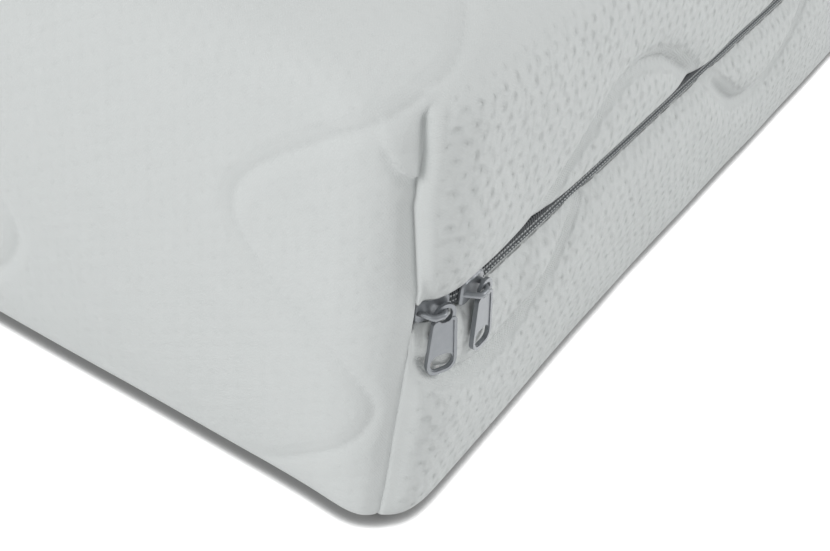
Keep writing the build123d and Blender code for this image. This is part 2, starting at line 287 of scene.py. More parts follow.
class FlatMesh:
    """Quads on the faces of the flat box, welded where they meet."""

    def __init__(self):
        self.bm = bmesh.new()
        self.seen = {}

    def corner(self, point):
        key = tuple(round(v, 3) for v in point)
        if key not in self.seen:
            self.seen[key] = self.bm.verts.new(point)
        return self.seen[key]

    def face_grid(self, firsts, seconds, place):
        """Quads between the lines firsts and seconds; place turns a pair of them into a point."""
        for a0, a1 in zip(firsts, firsts[1:]):
            for b0, b1 in zip(seconds, seconds[1:]):
                corners = [place(a0, b0), place(a1, b0), place(a1, b1), place(a0, b1)]
                self.bm.faces.new([self.corner(c) for c in corners])

    def refine(self, wanted, levels):
        """Halves the faces whose wanted level is above the number of halvings done so far."""
        for level in range(levels):
            faces = list(self.bm.faces)
            middles = np.array([f.calc_center_median() for f in faces])
            chosen = np.flatnonzero(wanted(middles) > level)
            edges = {e for i in chosen for e in faces[i].edges}
            bmesh.ops.subdivide_edges(self.bm, edges=list(edges), cuts=1, use_grid_fill=True)
        large = [f for f in self.bm.faces if len(f.verts) > 4]
        bmesh.ops.triangulate(self.bm, faces=large)

    def arrays(self):
        self.bm.verts.index_update()
        points = np.array([v.co for v in self.bm.verts])
        faces = [[v.index for v in f.verts] for f in self.bm.faces]
        self.bm.free()
        return points, faces


def side_grids(mesh, xs, ys, heights, front=False):
    """Both long sides and the head end between the given heights, and the foot end if asked."""
    mesh.face_grid(ys, heights, lambda y, z: (FLAT_X, y, z))
    mesh.face_grid(ys, heights[::-1], lambda y, z: (-FLAT_X, y, z))
    mesh.face_grid(xs, heights[::-1], lambda x, z: (x, FLAT_Y, z))
    if front:
        mesh.face_grid(xs, heights, lambda x, z: (x, -FLAT_Y, z))


def wanted_detail(lines, lip):
    """How many times the mesh is halved: most near the corner with the sliders, seams and lines."""

    def levels(middles):
        place = block_point(middles)
        to_line, _ = lines.near(place)
        to_seam, _ = seams.near(place)
        to_lip = np.abs(middles[:, 2] - lip)
        from_side = HALF_W - place[:, 0]
        from_foot = HALF_L + place[:, 1]
        near = (from_side < 230) & (from_foot < 430)
        close = (from_side < 180) & (from_foot < 130) | (from_side < 70) & (from_foot < 380)
        on_lip = (from_foot > 12) & (from_side < 12) & (to_lip < 7)
        busy = (to_line < 6) | (to_seam < 16) | on_lip
        on_seam = (to_seam < 5) & (from_side < 40) & (middles[:, 2] > 0)
        level = np.where((to_line < 10) | near, 1, 0)
        level = np.where(close, 2, level)
        level = np.where(close & busy, 3, level)
        return np.where(on_seam, HALVINGS, level)

    return levels


def lip_points(points, lip):
    """The vertices along the slot, in order round the mattress from one foot seam to the other."""
    on_lip = np.abs(points[:, 2] - lip) < ON_LINE
    right = on_lip & (points[:, 0] > FLAT_X - ON_LINE)
    left = on_lip & (points[:, 0] < -FLAT_X + ON_LINE)
    back = on_lip & (points[:, 1] > FLAT_Y - ON_LINE) & ~right & ~left
    order = []
    for mask, key in ((right, points[:, 1]), (back, -points[:, 0]), (left, -points[:, 1])):
        chosen = np.flatnonzero(mask)
        order += list(chosen[np.argsort(key[chosen])])
    return np.array(order)


def fabric_uv(points, faces):
    """Fabric coordinates in metres for each face corner, folded out from the top or the underside."""
    uv = []
    for face in faces:
        corners = points[face]
        middle = corners.mean(axis=0)
        u, v, z = corners.T
        drop = FLAT_TOP - z
        if abs(middle[0]) > FLAT_X - ON_LINE:
            u = math.copysign(1, middle[0]) * (FLAT_X + drop)
        elif abs(middle[1]) > FLAT_Y - ON_LINE:
            v = math.copysign(1, middle[1]) * (FLAT_Y + drop)
        uv.append(np.stack([u, v], axis=1))
    return np.concatenate(uv) * MM


def vertex_normals(place, faces):
    mesh = bpy.data.meshes.new("normals")
    mesh.from_pydata(place.tolist(), [], faces)
    normals = np.zeros(len(place) * 3)
    mesh.vertices.foreach_get("normal", normals)
    bpy.data.meshes.remove(mesh)
    return normals.reshape(-1, 3)


def new_object(name, data):
    """An object in the scene."""
    obj = bpy.data.objects.new(name, data)
    bpy.context.scene.collection.objects.link(obj)
    return obj


def new_piece(name, place, faces, material, uv=None, traits=None):
    """A smooth mesh object from points in millimetres; traits are named values for each vertex."""
    mesh = bpy.data.meshes.new(name)
    mesh.from_pydata((np.asarray(place) * MM).tolist(), [], [list(map(int, f)) for f in faces])
    mesh.polygons.foreach_set("use_smooth", [True] * len(mesh.polygons))
    if uv is not None:
        layer = mesh.uv_layers.new(name="fabric")
        layer.data.foreach_set("uv", np.asarray(uv, np.float32).ravel())
    for trait, values in (traits or {}).items():
        layer = mesh.attributes.new(trait, "FLOAT", "POINT")
        layer.data.foreach_set("value", np.asarray(values, np.float32))
    mesh.materials.append(material)
    return new_object(name, mesh)


def declare(obj, node=None):
    """Attaches a piece to the mattress, and hides the CAD node it takes the place of, if one is given."""
    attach(obj, "mattress")
    if node:
        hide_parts(node)


# ---- relief of the cover ----
PUFF = 2.8              # how far the quilting lines pull the side bands in
PUFF_WIDTH = 6.0
TOP_PUFF = 0.55         # the same on the foot panel and the top
TOP_PUFF_WIDTH = 3.2
PUFF_PROUD = 0.4        # how far the cover stands proud between them, as a share of the puff
LAP = 1.3               # how far the side bands stand back below a line ...
LAP_REACH = 16.0        # ... up to this far from it
STITCH_GROOVE = 0.55
STITCH_PITCH = 3.7

SEAM_CREASE = 0.5       # depth of the fine crease in a corner seam below the zip ...
CREASE_ABOVE_ZIP = 0.6  # ... this much more above it ...
CREASE_GAPING = 1.2     # ... and this much more again where the seam gapes
CREASE_WIDTH = 0.75
GAPING_WIDTH = 0.35     # how much wider the crease is there
GAPING_LOW = 121.0      # the seam gapes between these heights
GAPING_HIGH = 154.0
GAPING_FADE = 9.0
SEAM_DIP = 1.2          # the broad dip on both sides of the crease
SEAM_DIP_WIDTH = 5.0
ROLL = 0.8              # the side band's edge bulges beside the crease
ROLL_AT = 3.3
ROLL_WIDTH = 1.8
FOOT_HOLLOW = 0.4       # the foot panel's edge lies lower than the side band's ...
TUCK_HOLLOW = 1.4       # ... and lower still below the tuck
HOLLOW_WIDTH = 9.0
SEAM_HEIGHTS = (0.0, 66.0, 92.0, 107.0, 118.0, 127.0, 134.0, 142.0, 148.0, 154.0, 160.0)
SEAM_WANDER = (-1.2, 0.6, 2.0, 0.3, -0.9, -0.5, 0.1, 0.0, 0.2, 2.0, 2.4)    # towards the long side

TUCK = ((-24, 143), (-19, 135), (-15, 129.5), (-8, 125), (-4, 124.5))   # from the corner, and height
TUCK_PROUD = 1.9
TUCK_HEIGHT = 9.0       # of the bulge above the fold
TUCK_GAP = (3.0, 4.5)   # from the bulge to the corner at the fold, and how much more above it


def on_foot_panel(flat):
    return flat[:, 1] < -FLAT_Y + ON_LINE


def on_top_or_under(flat):
    return (flat[:, 2] > FLAT_TOP - ON_LINE) | (flat[:, 2] < FLAT_LOW + ON_LINE)


def side_share(flat):
    """1 on the side bands, whose padding and dimples are deeper and whose dimples carry more painted
    shade, and 0 on the foot panel and the top.
    """
    share = smooth((FLAT_TOP - flat[:, 2]) / 12) * smooth((flat[:, 1] + FLAT_Y) / 8)
    return np.where(on_foot_panel(flat) | on_top_or_under(flat), 0.0, share)


def quilt_relief(place, flat, lines):
    """Height of the quilted surface: padded between the lines, drawn in and puckered along them."""
    distance, along = lines.near(place)
    side = side_share(flat)
    puff = TOP_PUFF + (PUFF - TOP_PUFF) * side
    width = TOP_PUFF_WIDTH + (PUFF_WIDTH - TOP_PUFF_WIDTH) * side
    relief = puff * (PUFF_PROUD - bump(distance, width))
    band = UPPER_BAND if lines is quilt_upper else LOWER_BAND
    above = flat[:, 2] - band_height(flat[:, 1] + FLAT_Y, band)
    lapped = smooth(-above / 2.0) * np.exp(np.minimum(above, 0) / 10.0)
    relief -= LAP * side * lapped * smooth((LAP_REACH - distance) / (LAP_REACH / 2))
    pucker = 1 + 0.3 * np.cos(2 * math.pi * along / STITCH_PITCH)
    return relief - STITCH_GROOVE * (0.4 + puff) * pucker * bump(distance, 1.4)


def slow_waves(place):
    """The gentle unevenness of soft foam in a loose cover."""
    x, y, z = place.T
    return (0.35 * np.sin(x / 31 + 0.7 * np.sin(y / 47)) * np.sin(y / 39 + 1.3)
            + 0.25 * np.sin(x / 17 + z / 13 + 2.0) * np.sin(y / 21 - z / 19)
            + 0.20 * np.sin((y + x) / 11 + z / 9))


def seam_relief(place, flat):
    """How far the cover dips into the foot corner seams, measured along the corner's diagonal."""
    distance, _ = seams.near(place)
    height = flat[:, 2]
    above_zip = height - ZIP_Z
    gaping = smooth((height - GAPING_LOW) / GAPING_FADE) * smooth((GAPING_HIGH - height) / GAPING_FADE)
    crease = SEAM_CREASE + CREASE_ABOVE_ZIP * smooth(above_zip / 10) + CREASE_GAPING * gaping
    crease *= bump(distance, CREASE_WIDTH + GAPING_WIDTH * gaping)
    roll = ROLL * smooth((height - UPPER_LIP - 4) / 8) * bump(distance - ROLL_AT, ROLL_WIDTH)
    below_tuck = smooth((GAPING_LOW + 6 - height) / 8) * smooth(above_zip / 16)
    hollow = (FOOT_HOLLOW + TUCK_HOLLOW * below_tuck) * bump(distance, HOLLOW_WIDTH)
    edge = np.where(on_foot_panel(flat), hollow, -roll)
    dip = crease + SEAM_DIP * bump(distance, SEAM_DIP_WIDTH) + edge
    return dip * smooth((FLAT_TOP - height) / 12)


def seam_wander(place, flat):
    """Sideways shift of the fabric at the foot corners, whose seams don't hang straight."""
    distance, _ = seams.near(place)
    shift = np.interp(flat[:, 2], SEAM_HEIGHTS, SEAM_WANDER) * bump(distance, HOLLOW_WIDTH) / math.sqrt(2)
    return np.stack([np.sign(place[:, 0]) * shift, shift, np.zeros(len(place))], axis=1)


def tuck_relief(place, flat):
    """A fold of the foot panel that runs into the corner seam, full above and sharp below."""
    from_corner, heights = zip(*TUCK)
    inwards = np.abs(place[:, 0]) - HALF_W
    above = place[:, 2] - np.interp(inwards, from_corner, heights)
    gap = TUCK_GAP[0] + TUCK_GAP[1] * smooth(above / TUCK_HEIGHT)
    reach = smooth((inwards - from_corner[0]) / 10) * smooth((-inwards - gap) / 4)
    bulge = smooth((above + 0.8) / 1.6) * bump(np.maximum(above, 0), TUCK_HEIGHT)
    fold = 0.4 * bump(above + 1.8, 2.2)
    return np.where(on_foot_panel(flat), TUCK_PROUD * (bulge - fold) * reach, 0.0)


def pocket_relief(flat):
    """How far the lower cover stands back under the pulls, at the foot end and at the head end."""
    from_seam = flat[:, 1] + FLAT_Y
    from_head = FLAT_Y - flat[:, 1]
    above = flat[:, 2] - band_height(from_seam, LOWER_BAND)
    inside = smooth((above + 2.4) / 2.6)
    swell = 0.6 * bump(above + 6.0, 3.4)
    foot = smooth((POCKET_END - from_seam) / POCKET_FADE) * smooth(from_seam / 9)
    start, end = HEAD_POCKET
    head = smooth((from_head - start) / POCKET_FADE) * smooth((end - from_head) / POCKET_FADE)
    hangs = smooth((flat[:, 2] - ZIP_Z + HEAD_POCKET_HEIGHT) / 12)
    back = (POCKET_DEPTH * inside - swell) * foot + HEAD_POCKET_DEPTH * head * hangs
    return np.where(flat[:, 2] < ZIP_Z, back, 0.0)


def lip_relief(flat, lip, depth, fade, changes):
    """How far the cover dips towards the zip; changes are (place, extra depth, width) along a side."""
    from_seam = flat[:, 1] + FLAT_Y
    local = np.full(len(flat), depth)
    for y, more, width in changes:
        local += more * bump(from_seam - y, width)
    near = np.exp(-np.abs(flat[:, 2] - lip) / fade)
    pocket = pocket_relief(flat) if lip < ZIP_Z else 0.0
    dip = pocket + (local - np.maximum(pocket, 0)) * near
    away = 1 - bump(from_seam, 2.0)
    return np.where(on_foot_panel(flat) | on_top_or_under(flat), 0, dip * away)


def lip_crossings(band, lip):
    """How the lip's depth changes at the sliders and where the band's quilting line meets the slot."""
    height, swing, crest = band
    half_span = BAND_WAVE / (2 * math.pi) * math.acos((lip - height) / swing)
    found = [(20.0, 0.6, 28.0)]
    for middle in np.arange(crest, 2 * HALF_L, BAND_WAVE):
        before, after = middle - half_span, middle + half_span
        found += [(before - 4, 1.0, 13.0), (after - 1, 0.9, 8.0), (after + 18, -0.4, 10.0)]
    return found


def relieved(flat, faces, lines, lip, lip_form):
    """The cover's outer surface with its quilting, seams and the dip along the zip."""
    place = block_point(flat)
    normals = vertex_normals(place, faces)
    puff = quilt_relief(place, flat, lines) + slow_waves(place)
    to_seam, _ = seams.near(place)
    puff *= 1 - 0.8 * bump(to_seam, 3.0)
    from_seam = flat[:, 1] + FLAT_Y
    pocket = smooth((POCKET_END - from_seam) / 12) * (flat[:, 2] < ZIP_Z) * ~on_top_or_under(flat)
    above_line = flat[:, 2] - band_height(from_seam, LOWER_BAND)
    quiet = np.maximum(bump(flat[:, 2] - lip, 6.0), pocket * smooth((above_line - 1) / 4))
    puff = np.where(on_foot_panel(flat), puff, puff * (1 - 0.75 * quiet))
    puff = puff * (1 - 0.8 * smooth((16 - flat[:, 2]) / 12)) + tuck_relief(place, flat)
    inward = seam_relief(place, flat) + lip_relief(flat, lip, *lip_form)
    place = place + normals * puff[:, None] + seam_wander(place, flat)
    place[:, :2] -= plan_normal(flat) * inward[:, None]
    place[:, 2] = np.maximum(place[:, 2], 0.0)
    return place


def plainness(flat, lines):
    """How plain the knit is, from 0 where it is dimpled to 1 on the smooth bands along the quilting."""
    place = block_point(flat)
    to_line, _ = lines.near(place)
    to_seam, _ = seams.near(place)
    return np.maximum(1 - smooth((to_line - 3.0) / 2.5), 1 - smooth((to_seam - 3.0) / 3.0))


def hemmed(place, faces, uv, flat, lip, way):
    """The cover with its edge turned in along the slot; way is 1 for an edge that faces down."""
    edge = lip_points(flat, lip)
    outward = np.zeros((len(edge), 3))
    outward[:, :2] = plan_normal(flat[edge])
    lengths = flat[edge, 1] * MM
    places, uvs = [place], [uv]
    previous = list(edge)
    for row, (inwards, up) in enumerate(HEM_TURN):
        current = [len(place) + row * len(edge) + i for i in range(len(edge))]
        places.append(place[edge] - outward * inwards + (0, 0, way * up))
        low, high = row * MM, (row + 1) * MM
        for i, (a, b) in enumerate(zip(lengths, lengths[1:])):
            faces.append([previous[i], previous[i + 1], current[i + 1], current[i]])
            uvs.append([[a, low], [b, low], [b, high], [a, high]])
        previous = current
    return np.concatenate(places), faces, np.concatenate(uvs)


def cover_half(half, mesh, lines, lip, lip_form, material):
    """One half of the cover, with its relief, its turned-in edge and the traits its fabric needs."""
    mesh.refine(wanted_detail(lines, lip), HALVINGS)
    flat, faces = mesh.arrays()
    place = relieved(flat, faces, lines, lip, lip_form)
    uv = fabric_uv(flat, faces)
    place, faces, uv = hemmed(place, faces, uv, flat, lip, 1 if lip > ZIP_Z else -1)
    hem = np.ones(len(place) - len(flat))
    traits = {
        "plain": np.concatenate([plainness(flat, lines), hem]),
        "side": np.concatenate([side_share(flat), hem]),
    }
    obj = new_piece("quilted_" + half + "_cover", place, faces, material, uv, traits)
    declare(obj, half + "_cover_ticking")


def upper_cover(material):
    """Top, foot panel and upper side bands, in one piece of quilted knit."""
    xs, ys = grid_lines(CORE_X, FLAT_X), grid_lines(CORE_Y, FLAT_Y)
    mesh = FlatMesh()
    mesh.face_grid(xs, ys, lambda x, y: (x, y, FLAT_TOP))
    side_grids(mesh, xs, ys, steps(UPPER_LIP, SIDE_TOP, FLAT_TOP))
    foot_panel = steps(FLAT_LOW, BOTTOM_RISE, UPPER_LIP, SIDE_TOP, FLAT_TOP)
    mesh.face_grid(xs, foot_panel, lambda x, z: (x, -FLAT_Y, z))
    mesh.face_grid(xs, steps(-FLAT_Y, -CORE_Y)[::-1], lambda x, y: (x, y, FLAT_LOW))
    form = (UPPER_LIP_DEPTH, UPPER_LIP_FADE, lip_crossings(UPPER_BAND, UPPER_LIP))
    cover_half("upper", mesh, quilt_upper, UPPER_LIP, form, material)


def lower_cover(material):
    """Underside and lower side bands, in one piece of quilted knit."""
    xs, ys = grid_lines(CORE_X, FLAT_X), grid_lines(CORE_Y, FLAT_Y)
    mesh = FlatMesh()
    under = [y for y in ys if y > -CORE_Y - ON_LINE]
    mesh.face_grid(xs, under[::-1], lambda x, y: (x, y, FLAT_LOW))
    side_grids(mesh, xs, ys, steps(FLAT_LOW, BOTTOM_RISE, LOWER_LIP))
    form = (LOWER_LIP_DEPTH, LOWER_LIP_FADE, [])
    cover_half("lower", mesh, quilt_lower, LOWER_LIP, form, material)


# ---- zip ----
SEAM_INSET = 8.0        # the corner seam lies this far inside both sides
BEND_FROM_FOOT = 26.0   # where the side starts to turn in towards it
BEND_RADIUS = 14.0
HEAD_RADIUS = 30.0
COIL_PITCH = 1.27
COIL_WIRE = 0.42        # radius of the nylon wire
COIL_FRONT = 5.55       # depth of the wire's middle at the front of the coil
COIL_FINE = 800.0       # loops have more sides up to this far from the foot seam
# One loop of the coil: depth, height above the middle of the zip, and share of the pitch.
COIL_LOOP = (
    (6.95, 2.45, 0.0), (6.2, 2.75, 0.05), (COIL_FRONT, 2.4, 0.1), (5.45, 1.2, 0.22),
    (COIL_FRONT, -0.1, 0.32), (6.2, -0.45, 0.4), (6.95, -0.2, 0.5),
)
# One tape, cut across: depth, and height above the middle of the zip.
TAPE_SECTION = (
    (7.45, 0.8), (7.35, 1.4), (7.45, 4.0), (7.5, 12.6),
    (7.7, 13.0), (7.9, 12.6), (7.95, 4.0), (7.95, 1.0),
)
TAPE_STEP = 3.0


def half_zip_path():
    """Segments of the zip's line from the right foot seam to the middle of the head end, in plan."""
    start = Vector((HALF_W - SEAM_INSET, -HALF_L + SEAM_INSET))
    bend = Vector((HALF_W, -HALF_L + BEND_FROM_FOOT))
    first = (bend - start).normalized()
    turn = first.angle(Vector((0, 1)))
    tangent = BEND_RADIUS * math.tan(turn / 2)
    heading = math.atan2(first.y, first.x)
    straight = 2 * HALF_L - BEND_FROM_FOOT - tangent - HEAD_RADIUS
    return start, heading, [
        ((bend - start).length - tangent, 0.0),
        (BEND_RADIUS * turn, turn),
        (straight, 0.0),
        (HEAD_RADIUS * math.pi / 2, math.pi / 2),
        (HALF_W - HEAD_RADIUS, 0.0),
    ]


def zip_frames(distances):
    """Points on the zip's line and outward directions there, right foot seam to left foot seam."""
    start, heading, runs = half_zip_path()
    half = sum(length for length, _ in runs)
    distances = np.asarray(distances, float)
    folded = np.where(distances > half, 2 * half - distances, distances)
    line, angle = np.zeros((len(folded), 2)), np.zeros(len(folded))
    at = np.array(start)
    travelled = 0.0
    for length, turn in runs:
        along = folded - travelled
        if turn:
            radius = length / turn
            middle = at + radius * np.array([-math.sin(heading), math.cos(heading)])
            swept = heading + along / radius
            spots = middle + radius * np.stack([np.sin(swept), -np.cos(swept)], axis=1)
            at = middle + radius * np.array([math.sin(heading + turn), -math.cos(heading + turn)])
        else:
            way = np.array([math.cos(heading), math.sin(heading)])
            swept = np.full_like(along, heading)
            spots = at + along[:, None] * way
            at = at + length * way
        here = (along >= -TINY) & (along <= length + TINY)
        line[here] = spots[here]
        angle[here] = swept[here]
        heading += turn
        travelled += length
    outward = np.stack([np.sin(angle), -np.cos(angle)], axis=1)
    mirrored = np.where(distances > half, -1.0, 1.0)
    line[:, 0] *= mirrored
    outward[:, 0] *= mirrored
    return line, outward, 2 * half


def along_zip(distances, depths, heights):
    """Points at the given depths behind the zip's line and heights above its middle."""
    line, outward, _ = zip_frames(distances)
    plan = line - outward * np.reshape(depths, (-1, 1))
    return np.column_stack([plan, ZIP_Z + np.asarray(heights)])


def tube_quads(rings, sides):
    """Faces round a tube whose vertices are numbered ring by ring."""
    quads = []
    for start in range(0, (rings - 1) * sides, sides):
        for c in range(sides):
            d = (c + 1) % sides
            quads.append([start + c, start + d, start + sides + d, start + sides + c])
    return quads


def repeated(pattern, size, count, first=0):
    """Faces of equal pieces in a row, each with its own run of vertices."""
    return [[first + k * size + v for v in face] for k in range(count) for face in pattern]


def zip_coil(name, side, material):
    """One half of the nylon coil: a row of bent loops that mesh with the other half."""
    count = int((zip_frames([0.0])[2] - 3) / COIL_PITCH)
    fine = int(COIL_FINE / COIL_PITCH)
    first = 1.5 if side > 0 else 1.5 + COIL_PITCH / 2
    place, faces = np.zeros((0, 3)), []
    for start, stop, sides, path in (
        (0, fine, 6, COIL_LOOP),
        (fine, count, 4, COIL_LOOP[1:-1:2] + COIL_LOOP[-2:-1]),
    ):
        turns = np.arange(start, stop) * COIL_PITCH + first
        spine = np.array(path)
        ring = np.arange(sides) * 2 * math.pi / sides
        tangent = np.gradient(spine[:, :2], axis=0)
        tangent[np.linalg.norm(tangent, axis=1) < TINY] = (1, 0)
        tangent /= np.linalg.norm(tangent, axis=1, keepdims=True)
        across = np.stack([tangent[:, 1], -tangent[:, 0]], axis=1)
        section = spine[:, None, :2] + COIL_WIRE * np.cos(ring)[None, :, None] * across[:, None]
        depth, height = section.reshape(-1, 2).T
        along = (spine[:, None, 2] * COIL_PITCH + COIL_WIRE * np.sin(ring)).ravel()
        quads = tube_quads(len(path), sides)
        if side > 0:
            quads = [quad[::-1] for quad in quads]
        size = len(depth)
        caps = [list(range(sides)), list(range(size))[:-sides - 1:-1]]
        faces += repeated(quads + caps, size, len(turns), len(place))
        points = along_zip(
            (turns[:, None] + along).ravel(),
            np.tile(depth, len(turns)),
            side * np.tile(height, len(turns)),
        )
        place = np.concatenate([place, points])
    declare(new_piece(name, place, faces, material), name)


STITCH_LENGTH = 1.05    # of the sewing thread that shows on the coil
STITCH_EVERY = 1.7
STITCH_HEIGHT = 0.95
STITCH_RADIUS = 0.23
STITCH_LEAN = 0.12
STITCH_FRONT = COIL_FRONT - COIL_WIRE - 0.1
STITCH_RINGS = ((-0.5, 0.35), (-0.38, 1.0), (0.38, 1.0), (0.5, 0.35))   # shares of length and radius


def zip_stitches(name, side, material):
    """The light sewing thread that holds one half of the coil to its tape, a dash at a time."""
    middles = np.arange(3.0, zip_frames([0.0])[2] - 3.0, STITCH_EVERY)
    sides = 5
    ring = np.arange(sides) * 2 * math.pi / sides
    ends, girths = np.array(STITCH_RINGS).T
    girths = girths[:, None] * STITCH_RADIUS
    along = np.repeat(ends * STITCH_LENGTH, sides)
    depth = STITCH_FRONT + (girths * np.cos(ring)).ravel()
    height = STITCH_HEIGHT + (girths * np.sin(ring)).ravel() + STITCH_LEAN * along
    place = along_zip(
        (middles[:, None] + along).ravel(),
        np.tile(depth, len(middles)),
        side * np.tile(height, len(middles)),
    )
    size = len(depth)
    pattern = tube_quads(len(ends), sides) + [list(range(sides))[::-1], list(range(size - sides, size))]
    if side < 0:
        pattern = [face[::-1] for face in pattern]
    faces = repeated(pattern, size, len(middles))
    declare(new_piece(name, place, faces, material))


def zip_tape(name, side, material):
    """One woven tape, with a thicker edge along the coil."""
    total = zip_frames([0.0])[2]
    distances = np.linspace(0.3, total - 0.3, int(total / TAPE_STEP))
    count, rows = len(distances), len(TAPE_SECTION)
    place = np.concatenate([
        along_zip(distances, np.full(count, depth), np.full(count, side * height))
        for depth, height in TAPE_SECTION
    ])
    faces = []
    for r in range(rows):
        low, high = r * count, (r + 1) % rows * count
        for i in range(count - 1):
            quad = [low + i, low + i + 1, high + i + 1, high + i]
            faces.append(quad if side < 0 else quad[::-1])
    faces.append([r * count for r in range(rows)])
    faces.append([r * count + count - 1 for r in range(rows)][::-1])
    declare(new_piece(name, place, faces, material), name)


# ---- what the cover holds ----
WADDING = (4.6, 6.6)    # depth of each ply's faces below the cover's smooth surface
BACKING = (6.7, 7.1)
PLY_FROM_ZIP = 15.0
FOAM_DEPTH = 7.4
CHANNEL_DEPTH = 12.0    # of the groove that leaves room for the zip and its sliders
CHANNEL_REACH = 14.3
CHANNEL_EDGE = 0.3      # height over which its edges slope
INNER_GRID = 24.0
EDGE_GRID = 7.0
INNER_STEP = 10.0       # between the mesh's lines up the sides
FOAM_SPLIT = 116.2      # height where the memory foam starts
FOAM_GAP = 0.1


def inner_box(heights, top, under):
    """A coarse block between heights on the flat box, closed on top and underneath as asked."""
    xs = grid_lines(CORE_X, FLAT_X, EDGE_GRID, INNER_GRID)
    ys = grid_lines(CORE_Y, FLAT_Y, EDGE_GRID, INNER_GRID)
    mesh = FlatMesh()
    side_grids(mesh, xs, ys, heights, front=True)
    if top:
        mesh.face_grid(xs, ys, lambda x, y: (x, y, heights[-1]))
    if under:
        mesh.face_grid(xs, ys[::-1], lambda x, y: (x, y, heights[0]))
    return mesh.arrays()


def inner_piece(name, place, faces, material):
    """A piece inside the cover, which takes the place of the CAD node of the same name."""
    declare(new_piece(name, place, faces, material), name)


def ply(name, depths, heights, on_top, material):
    """One ply under the cover's fabric: an open box with a thickness."""
    flat, faces = inner_box(heights, on_top, not on_top)
    count = len(flat)
    place = np.concatenate([block_point(flat, depth) for depth in depths])
    edges = [pair for face in faces for pair in zip(face, face[1:] + face[:1])]
    used = set(edges)
    rim = [[b, a, a + count, b + count] for a, b in edges if (b, a) not in used]
    inner = [[v + count for v in reversed(face)] for face in faces]
    inner_piece(name, place, faces + inner + rim, material)


def foam(name, heights, material):
    """A block of foam; the support foam has a groove behind the zip."""
    flat, faces = inner_box(heights, True, True)
    in_channel = np.abs(flat[:, 2] - ZIP_Z) < CHANNEL_REACH + 0.1
    depth = np.where(in_channel, CHANNEL_DEPTH, FOAM_DEPTH)
    inner_piece(name, block_point(flat, depth), faces, material)


def inner_pieces():
    """The plies sewn under both halves of the cover, and the two layers of foam."""
    top_edge = steps(SIDE_TOP, FLAT_TOP, size=EDGE_GRID)
    low_edge = steps(FLAT_LOW, BOTTOM_RISE, size=EDGE_GRID)
    above = steps(ZIP_Z + PLY_FROM_ZIP, SIDE_TOP, size=INNER_STEP) + top_edge[1:]
    below = low_edge + steps(BOTTOM_RISE, ZIP_Z - PLY_FROM_ZIP, size=INNER_STEP)[1:]
    wadding = soft_material("wadding", (0.80, 0.80, 0.79), (0.90, 0.90, 0.89), 900, 0.5)
    backing = soft_material("backing", (0.78, 0.78, 0.77), (0.86, 0.86, 0.85), 1600, 0.1)
    memory = soft_material("memory_foam", (0.78, 0.72, 0.58), (0.88, 0.83, 0.71), 1200, 0.35)
    support = soft_material("support_foam", (0.72, 0.73, 0.74), (0.83, 0.84, 0.85), 700, 0.5)
    for half, heights in (("upper", above), ("lower", below)):
        ply(half + "_cover_wadding", WADDING, heights, half == "upper", wadding)
        ply(half + "_cover_backing", BACKING, heights, half == "upper", backing)
    low, high = ZIP_Z - CHANNEL_REACH, ZIP_Z + CHANNEL_REACH
    marks = (BOTTOM_RISE, low - CHANNEL_EDGE, low, high, high + CHANNEL_EDGE, FOAM_SPLIT - FOAM_GAP)
    foam("support_foam_core", low_edge + steps(*marks, size=INNER_STEP)[1:], support)
    foam("memory_foam_layer", steps(FOAM_SPLIT, SIDE_TOP, size=INNER_STEP) + top_edge[1:], memory)


# ---- materials ----
class Nodes:
    """A small helper that adds nodes to a material and links their inputs."""

    def __init__(self, name):
        self.material = bpy.data.materials.new(name)
        self.material.use_nodes = True
        self.tree = self.material.node_tree
        self.shader = self.tree.nodes["Principled BSDF"]

    def add(self, kind, values=None, **settings):
        node = self.tree.nodes.new(kind)
        for key, value in settings.items():
            setattr(node, key, value)
        for socket, value in (values or {}).items():
            self.put(node.inputs[socket], value)
        return node

    def put(self, socket, value):
        if isinstance(value, bpy.types.NodeSocket):
            self.tree.links.new(value, socket)
        else:
            socket.default_value = value

    def math(self, operation, *values):
        node = self.add("ShaderNodeMath", operation=operation)
        for i, value in enumerate(values):
            self.put(node.inputs[i], value)
        return node.outputs[0]

    def plus(self, first, second):
        return self.math("ADD", first, second)

    def minus(self, first, second):
        return self.math("SUBTRACT", first, second)

    def times(self, first, second):
        return self.math("MULTIPLY", first, second)

    def place(self):
        """Place on the object, in metres."""
        return self.add("ShaderNodeTexCoord").outputs["Object"]

    def trait(self, name):
        return self.add("ShaderNodeAttribute", attribute_name=name).outputs["Fac"]

    def wave(self, value, pitch):
        """A sine wave along a value in metres, with its pitch in mm."""
        return self.math("SINE", self.times(value, 2 * math.pi / (pitch * MM)))

    def ramp(self, value, low, high):
        """0 below low, 1 above high, smooth between."""
        node = self.add("ShaderNodeMapRange", {"Value": value, "From Min": low, "From Max": high},
                        interpolation_type="SMOOTHSTEP")
        return node.outputs["Result"]

    def spot(self, across, along, radius):
        """1 at a spot's middle, fading to 0 at its radius."""
        squares = [self.math("POWER", self.math("ABSOLUTE", way), 2.0) for way in (across, along)]
        return self.minus(1.0, self.ramp(self.math("SQRT", self.plus(*squares)), 0.0, radius))

    def noise(self, vector, scale, detail=2.0, roughness=0.5):
        node = self.add("ShaderNodeTexNoise", {"Vector": vector, "Scale": scale, "Detail": detail,
                                               "Roughness": roughness})
        return node.outputs["Fac"]

    def mix(self, factor, first, second):
        node = self.add("ShaderNodeMix", data_type="RGBA")
        self.put(node.inputs["Factor"], factor)
        self.put(node.inputs[6], first)
        self.put(node.inputs[7], second)
        return node.outputs[2]

    def bump(self, height, distance):
        """Normal for a relief; distance is what a height of 1 stands for, in mm."""
        return self.add("ShaderNodeBump", {"Height": height, "Distance": distance * MM}).outputs["Normal"]

    def finish(self, **inputs):
        for name, value in inputs.items():
            self.put(self.shader.inputs[name.replace("_", " ")], value)
        return self.material


